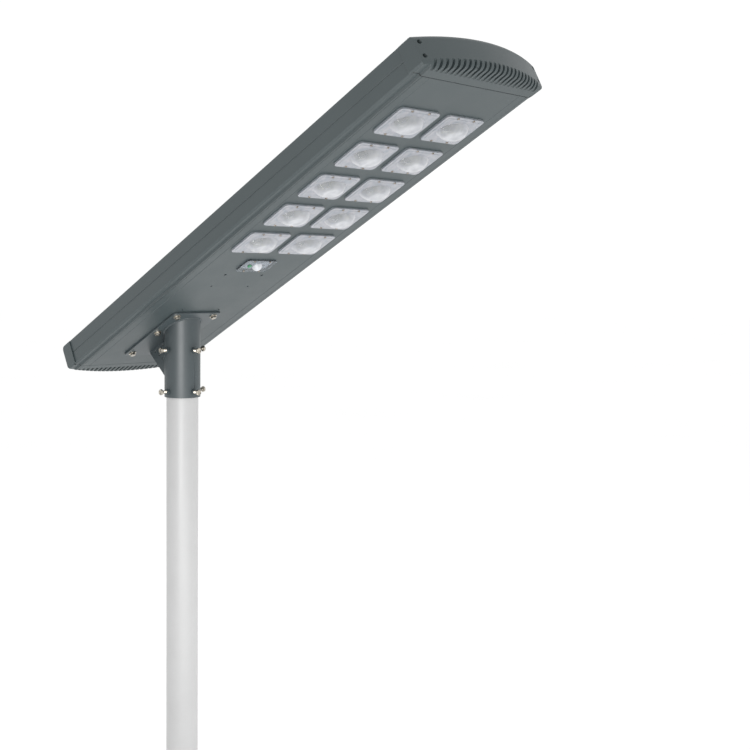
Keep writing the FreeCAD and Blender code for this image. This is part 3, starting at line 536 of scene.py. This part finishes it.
# EPDM rubber: black and matt, so the joints read as dark lines.
epdm = rubber("black_epdm_rubber", RUBBER_LIGHT, RUBBER_SHADE, grain=0.8)
for name in ("cap_gasket_front", "cap_gasket_rear", "window_seal"):
    finish(name, epdm)
# Silicone: pale blue-grey and matt, near the tone of the covers' rims.
silicone = rubber("grey_silicone_rubber", "#8b9396", "#7d8589", grain=0.8)
finish("lens_seals", silicone)

# ==== Cap screws: eight stainless socket-head screws, sunk deep in the end caps so that they read as dark
# holes.
# Brushed stainless steel: neutral and a little dull.
stainless = bright_metal("stainless_steel", "#b9bbbc", "#8b8d8f", patch=4, roughness=0.28)
softened("cap_screws", "sunk_screws", 0.2, stainless, "stainless")

# ==== Lens modules: ten moulded polycarbonate covers on silicone seals, each with a flat rim, a low raised
# step and a broad flat-topped dome, faintly waisted across its middle. Four self-tapping screws hold each
# rim.
MODULES = range(1, 11)
LENS_CORNER, RIM_WIDTH, RIM_THICK, RIM_EDGE, RIM_LIP = 10, 6, 3.5, 0.5, 1.2
STEP_HEIGHT, STEP_SLOPE = 0.9, 1.4
DOME_HALF_LENGTH, DOME_HALF_WIDTH = 28, 42
DOME_TOP = 0.5                # the flat top's radius, as a share of the dome's
DOME_SHOULDER = 0.8           # below 1, the dome's side rises steeply from its foot
DOME_WAIST, WAIST_SPREAD = 0.06, 0.35
DOME_SINK = 0.1               # how far the dome's foot is sunk into the step


def clear_plastic(name, tint, milky, haze_low, haze_high, roughness, grain):
    """Clear moulded plastic as a thin wall: see-through face on, hazier and shinier at a slant."""
    made, tree = material_tree(name)
    place = node(tree, "TexCoord").outputs["Object"]
    flow = node(tree, "TexNoise", {"Vector": place, "Scale": 1 / (grain * MM),
                                   "Detail": 2.0}).outputs["Fac"]
    ripple = node(tree, "Bump", {"Height": flow, "Strength": 0.2, "Distance": 0.2 * MM}).outputs["Normal"]
    slant = node(tree, "LayerWeight", {"Blend": 0.5, "Normal": ripple}).outputs["Facing"]
    haze = node(tree, "MapRange", {"Value": slant, "To Min": haze_low,
                                   "To Max": haze_high}).outputs["Result"]
    wall = node(tree, "BsdfPrincipled", {"Base Color": tones(tree, flow, tint, milky, 0.3, 0.7),
                                         "Roughness": roughness, "IOR": 1.58, "Normal": ripple})
    clear = node(tree, "BsdfTransparent", {"Color": linear("#e6e8ec")})
    surface(tree, node(tree, "MixShader", {0: haze, 1: clear.outputs[0], 2: wall.outputs[0]}))
    return made


# Clear polycarbonate: greyer on the rim; on the dome glossier, and whiter as a painted reflection of the
# white studio;
# hazier the more it slants away.
rim_plastic = clear_plastic("clear_polycarbonate_rim", "#a2a7ae", "#b7b7bc", 0.4, 0.95,
                            roughness=0.14, grain=14)
# The dome's whiter tones are painted reflection: it is the same clear plastic as the rim.
dome_plastic_painted_reflection = clear_plastic("clear_polycarbonate_dome_painted_reflection", "#c4c6ca", "#dfe0e3", 0.25, 0.95,
                             roughness=0.05, grain=18)


def edit(piece, kind, test):
    """Open a piece in edit mode with just the faces, edges or corners that pass a test selected."""
    bpy.ops.object.select_all(action="DESELECT")
    bpy.context.view_layer.objects.active = piece
    piece.select_set(True)
    bpy.ops.object.mode_set(mode="EDIT")
    bpy.ops.mesh.select_mode(type=kind)
    bpy.ops.mesh.select_all(action="DESELECT")
    bpy.ops.object.mode_set(mode="OBJECT")
    for part in {"FACE": piece.data.polygons, "EDGE": piece.data.edges, "VERT": piece.data.vertices}[kind]:
        part.select = test(part)
    bpy.ops.object.mode_set(mode="EDIT")


def edge_of(piece, edge):
    """An edge as a vector."""
    start, stop = (piece.data.vertices[index].co for index in edge.vertices)
    return stop - start


def lens_cover():
    """One cover in the head's frame, centred on the seal's underside, with its dome downwards."""
    plate = primitive("cube", "lens_cover", size=1, scale=(LENS_LENGTH, LENS_WIDTH, RIM_THICK),
                      location=(0, 0, -RIM_THICK / 2))
    bpy.ops.object.transform_apply(location=True, scale=True)
    edit(plate, "EDGE", lambda edge: abs(edge_of(plate, edge).z) > RIM_THICK / 2)
    bpy.ops.mesh.bevel(offset=LENS_CORNER, segments=8)
    bpy.ops.object.mode_set(mode="OBJECT")
    edit(plate, "FACE", lambda face: face.normal.z < -0.9)
    bpy.ops.mesh.inset(thickness=RIM_LIP)
    bpy.ops.mesh.inset(thickness=RIM_WIDTH - RIM_LIP)
    bpy.ops.mesh.inset(thickness=STEP_SLOPE, depth=STEP_HEIGHT)
    bpy.ops.object.mode_set(mode="OBJECT")
    round_edges(plate, RIM_EDGE, segments=3)
    dome = primitive("circle", "dome", vertices=56, radius=1, fill_type="TRIFAN")
    edit(dome, "FACE", lambda face: True)
    bpy.ops.mesh.subdivide(number_cuts=9)
    bpy.ops.mesh.flip_normals()
    bpy.ops.object.mode_set(mode="OBJECT")
    for corner in dome.data.vertices:
        out = min(1, math.hypot(corner.co.x, corner.co.y))
        waist = 1 - DOME_WAIST * math.exp(-(corner.co.y / WAIST_SPREAD) ** 2)
        climb = min(1, (1 - out) / (1 - DOME_TOP))
        drop = math.sin(climb * math.pi / 2) ** DOME_SHOULDER * waist * (LENS_DEPTH - RIM_THICK)
        corner.co = Vector((corner.co.x * DOME_HALF_LENGTH, corner.co.y * DOME_HALF_WIDTH,
                            -RIM_THICK - max(drop, STEP_HEIGHT - DOME_SINK)))
    bpy.ops.object.shade_smooth_by_angle(angle=math.radians(50))
    plate.data.materials.append(rim_plastic)
    dome.data.materials.append(dome_plastic_painted_reflection)
    return joined("lens_cover", [plate, dome])


lens_spots = {number: solids_of(f"lens_{number}")[0] for number in MODULES}
_, lens_low, lens_high = lens_spots[1]
LENS_LENGTH, LENS_WIDTH, LENS_DEPTH = lens_high - lens_low
cover = lens_cover()
for number, (middle, low, high) in lens_spots.items():
    lens = on_head(copied(cover, f"lens_cover_{number}", Matrix.Translation((middle.x, middle.y, high.z))))
    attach(lens, "head")
    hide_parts(f"lens_{number}")
bpy.data.objects.remove(cover)

# ==== Cover screws: 44 small stainless pan-head screws with a cross recess, four to each lens cover and four
# to the sensor window. Each stops at a turn of its own.
PAN_RADIUS, PAN_HEIGHT, PAN_EDGE = 2.8, 1.7, 0.7
RECESS_LENGTH, RECESS_WIDTH, RECESS_DEPTH = 3.2, 0.8, 0.9
# Tarnished stainless steel: brown-grey, with a soft shine in small patches.
cross_screws = bright_metal("stainless_screws", "#a89f94", "#6f675f", patch=2, roughness=0.3)

screw = primitive("cylinder", "pan_head", vertices=24, radius=PAN_RADIUS, depth=PAN_HEIGHT)
round_edges(screw, PAN_EDGE, segments=3)
for turn in (0, 90):
    slit = primitive("cube", "slit", size=1, scale=(RECESS_LENGTH, RECESS_WIDTH, RECESS_DEPTH * 2),
                     location=(0, 0, -PAN_HEIGHT / 2), rotation=(0, 0, math.radians(turn)))
    bpy.ops.object.transform_apply(location=True, rotation=True, scale=True)
    bite = screw.modifiers.new("recess", "BOOLEAN")
    bite.object = slit
    apply(screw)
    bpy.data.objects.remove(slit)
screws = [copied(screw, f"screw_{number}",
                 Matrix.Translation((middle.x, middle.y, low.z + PAN_HEIGHT / 2))
                 @ Matrix.Rotation(number, 4, "Z"))
          for number, (middle, low, high) in enumerate(solids_of("cover_screws"))]
bpy.data.objects.remove(screw)
dress(on_head(joined("cover_screw_heads", screws)), cross_screws, "head", "stainless", "cover_screws")

# ==== LED boards: ten aluminium-cored circuit boards with white solder mask. Each carries an oval field of
# small yellow-phosphor chips inside a reflector ring painted grey as shade, for the dark ring that refraction
# in the dome shows, a red feed mark at its rear, and a screw in each corner.
FIELD_HALF_LENGTH, FIELD_HALF_WIDTH = 22, 32
FIELD_SLACK = 1.03                   # how far past the oval a chip's corner may reach, as a share of it
CHIP_PITCH, CHIP_SIZE, CHIP_FLATNESS, CHIP_DROP = 3.4, 2.7, 0.25, 0.15
RING_HALF_LENGTH, RING_HALF_WIDTH, RING_TUBE, RING_HALF_HEIGHT = 26.8, 40.5, 1.0, 0.5
UNIT_TUBE = 0.03                     # the ring's tube before it is stretched to the oval
BOARD_SCREW_ALONG, BOARD_SCREW_ACROSS, BOARD_SCREW_RADIUS = 25.9, 41.5, 2.3
BOARD_SCREW_HEIGHT, BOARD_SCREW_RISE, BOARD_SCREW_EDGE = 1, 0.3, 0.3
MARK_LENGTH, MARK_WIDTH, MARK_THICK, MARK_TAPER = 5, 6, 0.6, 0.25
MARK_GAP, MARK_RISE = 2.4, 0.35


def satin(name, light, shade, patch, roughness, relief=0.02):
    """A smooth moulded or lacquered surface: even, with a faint drift in tone of the size given in mm."""
    made, tree = material_tree(name)
    place = node(tree, "TexCoord").outputs["Object"]
    drift = node(tree, "TexNoise", {"Vector": place, "Scale": 1 / (patch * MM),
                                    "Detail": 4.0}).outputs["Fac"]
    grain = node(tree, "TexNoise", {"Vector": place, "Scale": 12 / (patch * MM),
                                    "Detail": 2.0}).outputs["Fac"]
    bumps = node(tree, "Bump", {"Height": grain, "Strength": 0.3, "Distance": relief * MM})
    surface(tree, node(tree, "BsdfPrincipled", {"Base Color": tones(tree, drift, shade, light, 0.3, 0.7),
                                                "Roughness": roughness, "Normal": bumps.outputs["Normal"]}))
    return made


# White solder mask: a hard, slightly glossy lacquer.
solder_mask = satin("white_solder_mask", "#f3f1ee", "#e4e0dc", patch=14, roughness=0.35)
# Yellow phosphor in clear silicone: saturated, waxy and a little glossy.
phosphor = satin("yellow_phosphor", "#f3f0a0", "#e6dd62", patch=3, roughness=0.3)
# Moulded reflector, grey-violet and satin: darker than the board it frames, as painted shade for the dark
# ring that refraction in the dome shows.
reflector = satin("reflector_painted_shade_grey", "#b5afba", "#a19ba8", patch=10, roughness=0.3)
# Red lacquer on the feed mark.
red_lacquer = satin("red_lacquer", "#a8443c", "#7c2f2c", patch=3, roughness=0.35)
board_spots = [solids_of(f"led_board_{number}")[0] for number in MODULES]
for number in MODULES:
    finish(f"led_board_{number}", solder_mask)


def on_every_board(name, pattern, material, slot):
    """Copies of a pattern, which is centred on a board's underside, on all ten boards and joined into one."""
    copies = []
    for number, (middle, low, _) in zip(MODULES, board_spots):
        copies.append(copied(pattern, f"{name}_{number}", Matrix.Translation((middle.x, middle.y, low.z))))
    bpy.data.objects.remove(pattern)
    return dress(on_head(joined(name, copies)), material, "head", slot)


chip = primitive("cube", "chip", size=CHIP_SIZE)
chip.data.transform(Matrix.Diagonal((1, 1, CHIP_FLATNESS, 1)))
chips = []
rows, columns = int(FIELD_HALF_LENGTH / CHIP_PITCH), int(FIELD_HALF_WIDTH / CHIP_PITCH)
for row in range(-rows, rows + 1):
    for column in range(-columns, columns + 1):
        x, y = row * CHIP_PITCH, column * CHIP_PITCH
        reach = math.hypot((abs(x) + CHIP_SIZE / 2) / FIELD_HALF_LENGTH,
                           (abs(y) + CHIP_SIZE / 2) / FIELD_HALF_WIDTH)
        if reach < FIELD_SLACK:
            chips.append(copied(chip, "one_chip", Matrix.Translation((x, y, -CHIP_DROP))))
bpy.data.objects.remove(chip)
on_every_board("led_chips", joined("chip_field", chips), phosphor, "led_board")

# The reflector ring, whose grey tone is painted shade for the dome's refracted dark ring.
ring = primitive("torus", "ring", major_radius=1, minor_radius=UNIT_TUBE, major_segments=72, minor_segments=8)
for corner in ring.data.vertices:
    turn = math.atan2(corner.co.y, corner.co.x)
    out = (corner.co.xy.length - 1) / UNIT_TUBE * RING_TUBE
    corner.co = Vector(((RING_HALF_LENGTH + out) * math.cos(turn), (RING_HALF_WIDTH + out) * math.sin(turn),
                        corner.co.z / UNIT_TUBE * RING_HALF_HEIGHT + RING_HALF_HEIGHT))
bpy.ops.object.shade_smooth()
on_every_board("reflector_rings", ring, reflector, "led_board")

heads = []
for along in (-1, 1):
    for across in (-1, 1):
        heads.append(primitive("cylinder", "board_screw", vertices=16, radius=BOARD_SCREW_RADIUS,
                               depth=BOARD_SCREW_HEIGHT,
                               location=(along * BOARD_SCREW_ALONG, across * BOARD_SCREW_ACROSS,
                                         BOARD_SCREW_RISE)))
        round_edges(heads[-1], BOARD_SCREW_EDGE)
on_every_board("board_screws", joined("board_screw_set", heads), cross_screws, "stainless")

mark = primitive("cube", "mark", size=1, scale=(MARK_LENGTH, MARK_WIDTH, MARK_THICK),
                 location=(-FIELD_HALF_LENGTH - MARK_GAP, 0, MARK_RISE))
bpy.ops.object.transform_apply(location=True, scale=True)
edit(mark, "FACE", lambda face: face.normal.x < -0.9)
bpy.ops.transform.resize(value=(1, MARK_TAPER, 1))
bpy.ops.object.mode_set(mode="OBJECT")
on_every_board("feed_marks", mark, red_lacquer, "led_board")

# ==== Sensor window: a flat clear cover over a white moulded face, with the green power button, the faceted
# white dome of the motion sensor and the black remote-control receiver, on a green circuit board. Four white
# clips show at its sides.
CLIP_LENGTH, CLIP_WIDTH, CLIP_HEIGHT, CLIP_EDGE = 11, 4, 3, 0.8
CLIP_AHEAD, CLIP_ASIDE, CLIP_RISE = 8.5, 37.4, 1
BUTTON_EDGE = 0.8

# White ABS: satin, faintly warm.
white_abs = satin("white_abs", "#e9e9ea", "#dededf", patch=20, roughness=0.32)
# Translucent green silicone button: saturated, with a soft shine.
green_button = satin("green_silicone", "#0b8a4c", "#08713f", patch=4, roughness=0.3)
# Black ABS: near-black with a fine matt texture that catches a grey sheen.
black_abs = satin("black_abs", "#1c1d1f", "#121314", patch=12, roughness=0.38, relief=0.05)
# Green solder mask on a glass-fibre board.
green_board = satin("green_solder_mask", "#1c6b45", "#14553a", patch=8, roughness=0.28)
# Milky polyethylene: the sensor's lens, cut into small facets that scatter heat onto the sensor.
milky_plastic = satin("milky_polyethylene", "#d9dbdf", "#c4c7cc", patch=4, roughness=0.25)

window_middle = solids_of("window_cover")[0][0]
# Clear polycarbonate, thin and flat: nearly all see-through, with a grey sheen at a slant.
window_plastic = clear_plastic("clear_window", "#8b9397", "#a4abae", 0.04, 0.45, roughness=0.1, grain=14)
finish("window_cover", window_plastic)

dome_middle, dome_low, dome_high = solids_of("motion_dome")[0]
fresnel = primitive("ico_sphere", "motion_dome_facets", subdivisions=3, radius=1)
edit(fresnel, "VERT", lambda corner: True)
bpy.ops.mesh.bisect(plane_co=(0, 0, 0), plane_no=(0, 0, 1), clear_outer=True, use_fill=True)
bpy.ops.object.mode_set(mode="OBJECT")
dome_size = dome_high - dome_low
fresnel.data.transform(Matrix.Translation((dome_middle.x, dome_middle.y, dome_high.z))
                       @ Matrix.Diagonal((dome_size.x / 2, dome_size.y / 2, dome_size.z, 1)))
dress(on_head(fresnel), milky_plastic, "head", "white_plastic", "motion_dome")

side_clips = []
for aside in (-1, 1):
    for ahead in (-1, 1):
        side_clips.append(primitive("cube", "side_clip", size=1, scale=(CLIP_LENGTH, CLIP_WIDTH, CLIP_HEIGHT),
                                    location=(window_middle.x + ahead * CLIP_AHEAD, aside * CLIP_ASIDE,
                                              CLIP_RISE)))
        bpy.ops.object.transform_apply(location=True, scale=True)
        round_edges(side_clips[-1], CLIP_EDGE)
dress(on_head(joined("side_clips", side_clips)), white_abs, "head", "white_plastic")

softened("power_button", "power_button_cap", BUTTON_EDGE, green_button, "green_plastic", body="power_button")
finish("sensor_face", white_abs)
finish("sensor_board", green_board)
finish("remote_receiver", black_abs)

# ==== Solar panel: white backsheet, two columns of twelve cut polycrystalline cells joined by flat tinned
# ribbons, under a sheet of clear tempered glass.
GRAIN_SIZE, MOTTLE_SIZE, FINGER_SIZE, WAVE_SIZE = 9, 45, 40, 60
RIBBONS, RIBBON_WIDTH, RIBBON_THICK, RIBBON_MARGIN, RIBBON_RISE = 5, 1.4, 0.1, 3, 0.06


def along_head(tree):
    """Object coordinates turned so that x runs along the head, y across it and z out of the panel."""
    place = node(tree, "TexCoord").outputs["Object"]
    return node(tree, "Mapping", {"Vector": place, "Rotation": (0, TILT, 0)}).outputs["Vector"]


# White polyester backsheet: matt, with a faint cloudiness.
finish("solar_backsheet", satin("white_backsheet", "#e4e6ea", "#d9dbe0", patch=60, roughness=0.55))

# Polycrystalline silicon under its blue coating: angular grains, each a slightly different navy, crossed by
# faint silver bands for the printed fingers, drawn far coarser than real so that they show.
silicon, tree = material_tree("polycrystalline_silicon")
place = along_head(tree)
grains = node(tree, "TexVoronoi", {"Vector": place, "Scale": 1 / (GRAIN_SIZE * MM), "Randomness": 1.0})
shade = node(tree, "SeparateColor", {"Color": grains.outputs["Color"]}).outputs["Red"]
mottle = node(tree, "TexNoise", {"Vector": place, "Scale": 1 / (MOTTLE_SIZE * MM),
                                 "Detail": 3.0}).outputs["Fac"]
blend = node(tree, "Mix", {"Factor": 0.5, "A": shade, "B": mottle}, data_type="FLOAT").outputs[0]
fingers = node(tree, "TexWave", {"Vector": place, "Scale": 1 / (FINGER_SIZE * MM), "Distortion": 0.0},
               bands_direction="X")
print_mask = node(tree, "MapRange", {"Value": fingers.outputs["Fac"], "From Min": 0.9, "From Max": 1.0,
                                     "To Max": 0.3}).outputs["Result"]
navy = node(tree, "Mix", {"Factor": print_mask, "A": tones(tree, blend, "#0b1534", "#1a3263", 0.2, 0.8),
                          "B": linear("#4a5a7c")}, data_type="RGBA")
surface(tree, node(tree, "BsdfPrincipled", {"Base Color": navy.outputs["Result"], "Roughness": 0.35,
                                            "Specular IOR Level": 0.15}))
finish("solar_cells", silicon)

# Tinned copper ribbon: dull grey metal, slightly wavy.
tinned_ribbon = bright_metal("tinned_ribbon", "#8d90a0", "#5f6272", patch=6, roughness=0.4)
cells = solids_of("solar_cells")
panel_ends = min(low.x for middle, low, high in cells), max(high.x for middle, low, high in cells)
ribbons = []
for column in (-1, 1):
    middle, low, high = next(cell for cell in cells if cell[0].y * column > 0)
    for number in range(RIBBONS):
        across = low.y + (number + 0.5) * (high.y - low.y) / RIBBONS
        ribbons.append(primitive("cube", "ribbon", size=1,
                                 location=(sum(panel_ends) / 2, across, high.z + RIBBON_RISE),
                                 scale=(panel_ends[1] - panel_ends[0] + 2 * RIBBON_MARGIN, RIBBON_WIDTH,
                                        RIBBON_THICK)))
        bpy.ops.object.transform_apply(location=True, scale=True)
dress(on_head(joined("cell_ribbons", ribbons)), tinned_ribbon, "head", "solar_cell")

# Low-iron tempered glass: clear, with a sky reflection that strengthens at a slant.
solar_glass, tree = material_tree("tempered_solar_glass")
place = along_head(tree)
wave = node(tree, "TexNoise", {"Vector": place, "Scale": 1 / (WAVE_SIZE * MM), "Detail": 1.0}).outputs["Fac"]
dimples = node(tree, "Bump", {"Height": wave, "Strength": 0.1, "Distance": 0.2 * MM}).outputs["Normal"]
mirror = node(tree, "Fresnel", {"IOR": 1.3, "Normal": dimples}).outputs["Fac"]
# The mirror is only on the glass's outer faces: from inside it, the same node would reflect everything.
inside = node(tree, "NewGeometry").outputs["Backfacing"]
outside = node(tree, "Math", {0: 1.0, 1: inside}, operation="SUBTRACT").outputs[0]
mirror = node(tree, "Math", {0: mirror, 1: outside}, operation="MULTIPLY").outputs[0]
shine = node(tree, "BsdfGlossy", {"Color": tones(tree, wave, "#f0f4f6", "#ffffff"), "Roughness": 0.06,
                                  "Normal": dimples})
clear = node(tree, "BsdfTransparent", {"Color": linear("#f2f6f5")})
surface(tree, node(tree, "MixShader", {0: mirror, 1: clear.outputs[0], 2: shine.outputs[0]}))
finish("solar_glass", solar_glass)

# ==== Inside the head: junction box, charge controller, battery pack in its folded tray, and the cables
# between them. The pack is 24 round cells laid side by side.
# PVC shrink sleeve over each cell: blue, with a satin shine.
shrink_sleeve = satin("blue_shrink_sleeve", "#2a62a8", "#214f8c", patch=10, roughness=0.3)
# Hot-dip galvanised sheet: grey spangle.
galvanised = bright_metal("galvanised_sheet", "#a6a9ab", "#84888a", patch=12, roughness=0.42)
# PVC cable jacket: black, soft and slightly dusty.
cable_pvc = satin("cable_pvc", "#26272a", "#17181a", patch=6, roughness=0.5, relief=0.05)
for part, made in (("junction_box", black_abs), ("charge_controller", black_abs),
                   ("battery_cells", shrink_sleeve), ("battery_tray", galvanised), ("wiring", cable_pvc)):
    finish(part, made)
